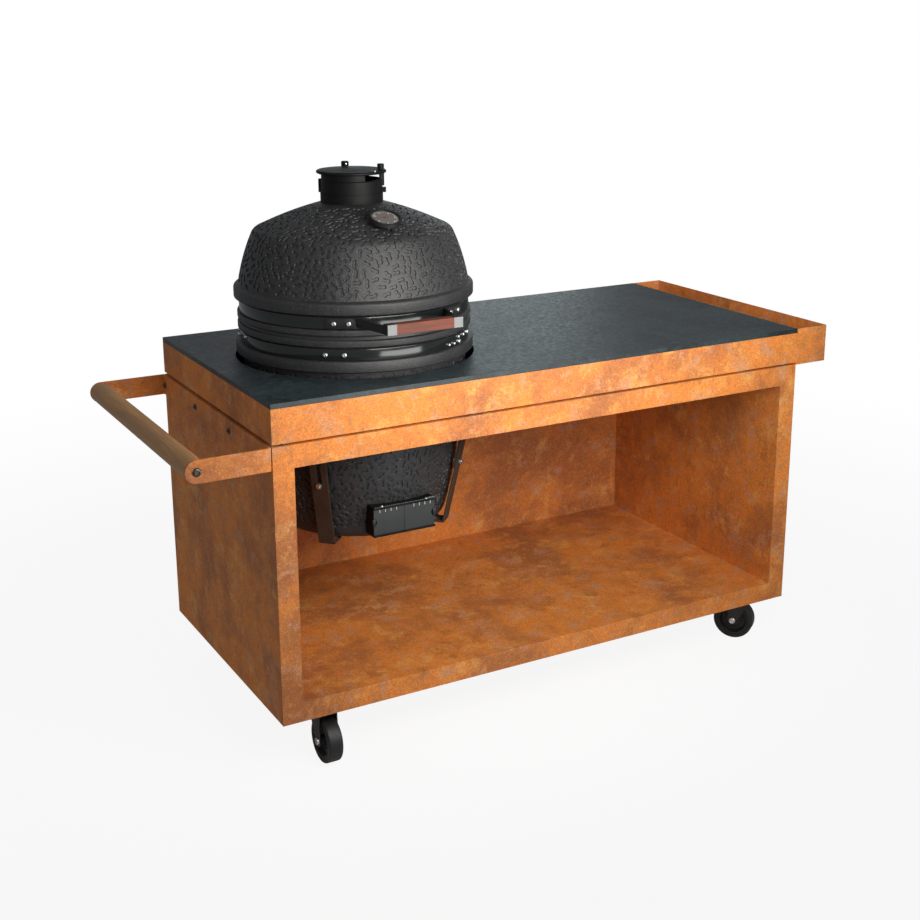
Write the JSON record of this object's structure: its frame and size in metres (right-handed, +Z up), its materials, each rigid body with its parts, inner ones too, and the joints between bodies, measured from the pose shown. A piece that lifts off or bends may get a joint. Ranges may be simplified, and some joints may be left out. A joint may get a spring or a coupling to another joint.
{
  "type": "kamado grill table",
  "caption": "Wheeled outdoor kitchen table with a kamado grill hung in its worktop, an open storage bay, a push handle and a planter trough.",
  "frame": {"origin": "on the floor, below the middle of the table's length and depth", "axes": "+X along the table towards the planter trough, +Y from the open front to the back, +Z up"},
  "size_m": [1.7384, 0.7512, 1.3259],
  "materials": {
    "weathered_steel": "mottled rust patina",
    "worktop_slab": "matt slate-coloured slab, opaque",
    "glazed_ceramic": "opaque dark glaze over a raised pattern",
    "fire_clay": "opaque unglazed refractory clay",
    "black_steel": "satin to glossy black enamel",
    "zinc_steel": "zinc plated",
    "stainless_steel": "brushed stainless",
    "dark_bolt": "dark oxide",
    "rod_wood": "oiled round wood",
    "grip_wood": "reddish hardwood",
    "caster_black": "satin black",
    "wheel_black": "moulded wheel with a soft tread",
    "gasket_felt": "woven heat-proof felt",
    "dial_grey": "matt dial face",
    "needle_red": "painted needle"
  },
  "bodies": {
    "table": {"left_side_panel": "weathered_steel", "right_side_panel": "weathered_steel", "floor_panel": "weathered_steel", "back_panel": "weathered_steel", "front_lintel": "weathered_steel", "top_frame": "weathered_steel", "gap_spacers": "dark_bolt", "worktop_slab": "worktop_slab", "support_plate": "black_steel", "upper_hanger_straps": "weathered_steel", "lower_hanger_straps": "weathered_steel", "hanger_bolts": "zinc_steel", "hanger_pads": "zinc_steel", "push_handle_bracket": "weathered_steel", "push_handle_rod": "rod_wood", "rod_bolts": "dark_bolt", "panel_bolts": "dark_bolt", "caster_plates": "caster_black", "planter_trough": "weathered_steel", "base_shell": "glazed_ceramic", "base_band": "black_steel", "base_band_bolts": "stainless_steel", "base_gasket": "gasket_felt", "fire_box": "fire_clay", "fire_ring": "fire_clay", "charcoal_grate": "stainless_steel", "cooking_grate": "stainless_steel", "draft_box": "black_steel", "hinge_base_bracket": "black_steel", "hinge_pin": "stainless_steel"},
    "left_draft_door": {"left_draft_door": "black_steel"},
    "right_draft_door": {"right_draft_door": "black_steel"},
    "lid": {"lid_shell": "glazed_ceramic", "lid_band": "black_steel", "lid_band_bolts": "stainless_steel", "lid_gasket": "gasket_felt", "hinge_lid_bracket": "black_steel", "lid_handle_arms": "black_steel", "lid_handle_plates": "stainless_steel", "lid_handle_grip": "grip_wood", "thermometer_case": "black_steel", "thermometer_dial": "dial_grey", "vent_base": "black_steel"},
    "thermometer_needle": {"thermometer_needle": "needle_red"},
    "vent_ring": {"vent_ring": "black_steel", "vent_pivot_pin": "black_steel"},
    "vent_cap": {"vent_cap": "black_steel", "vent_knob": "black_steel"},
    "swivel_front_left": {"caster_fork_front_left": "caster_black", "caster_axle_front_left": "zinc_steel"},
    "wheel_front_left": {"caster_wheel_front_left": "wheel_black"},
    "swivel_front_right": {"caster_fork_front_right": "caster_black", "caster_axle_front_right": "zinc_steel"},
    "wheel_front_right": {"caster_wheel_front_right": "wheel_black"},
    "swivel_rear_left": {"caster_fork_rear_left": "caster_black", "caster_axle_rear_left": "zinc_steel"},
    "wheel_rear_left": {"caster_wheel_rear_left": "wheel_black"},
    "swivel_rear_right": {"caster_fork_rear_right": "caster_black", "caster_axle_rear_right": "zinc_steel"},
    "wheel_rear_right": {"caster_wheel_rear_right": "wheel_black"}
  },
  "joints": [
    {"name": "front_left_swivel", "type": "hinge", "parent": "table", "child": "swivel_front_left", "pos_m": [-0.55775, -0.2906, 0.123], "axis": [0, 0, 1], "continuous": true},
    {"name": "front_left_wheel_roll", "type": "hinge", "parent": "swivel_front_left", "child": "wheel_front_left", "pos_m": [-0.55775, -0.3216, 0.054], "axis": [1, 0, 0], "continuous": true},
    {"name": "front_right_swivel", "type": "hinge", "parent": "table", "child": "swivel_front_right", "pos_m": [0.70925, -0.2906, 0.123], "axis": [0, 0, 1], "continuous": true},
    {"name": "front_right_wheel_roll", "type": "hinge", "parent": "swivel_front_right", "child": "wheel_front_right", "pos_m": [0.69103, -0.26552, 0.054], "axis": [-0.809, -0.5878, 0], "continuous": true},
    {"name": "rear_left_swivel", "type": "hinge", "parent": "table", "child": "swivel_rear_left", "pos_m": [-0.55775, 0.2906, 0.123], "axis": [0, 0, 1], "continuous": true},
    {"name": "rear_left_wheel_roll", "type": "hinge", "parent": "swivel_rear_left", "child": "wheel_rear_left", "pos_m": [-0.55775, 0.3216, 0.054], "axis": [-1, 0, 0], "continuous": true},
    {"name": "rear_right_swivel", "type": "hinge", "parent": "table", "child": "swivel_rear_right", "pos_m": [0.70925, 0.2906, 0.123], "axis": [0, 0, 1], "continuous": true},
    {"name": "rear_right_wheel_roll", "type": "hinge", "parent": "swivel_rear_right", "child": "wheel_rear_right", "pos_m": [0.6947, 0.31797, 0.054], "axis": [-0.8829, -0.4695, 0], "continuous": true},
    {"name": "lid_hinge", "type": "hinge", "parent": "table", "child": "lid", "pos_m": [-0.31425, 0.315, 0.9712], "axis": [-1, 0, 0], "range_deg": [0, 75]},
    {"name": "vent_ring_turn", "type": "hinge", "parent": "lid", "child": "vent_ring", "pos_m": [-0.31425, 0, 1.272], "axis": [0, 0, 1], "range_deg": [-45, 45]},
    {"name": "vent_cap_swing", "type": "hinge", "parent": "vent_ring", "child": "vent_cap", "pos_m": [-0.25449, -0.0345, 1.31], "axis": [0, 0, 1], "range_deg": [0, 110]},
    {"name": "thermometer_needle_turn", "type": "hinge", "parent": "lid", "child": "thermometer_needle", "pos_m": [-0.31425, -0.17723, 1.22102], "axis": [0, 0.3665, -0.9304], "range_deg": [0, 240]},
    {"name": "left_draft_door_slide", "type": "slide", "parent": "table", "child": "left_draft_door", "axis": [-1, 0, 0], "range_m": [0, 0.05]},
    {"name": "right_draft_door_slide", "type": "slide", "parent": "table", "child": "right_draft_door", "axis": [1, 0, 0], "range_m": [0, 0.05]}
  ]
}
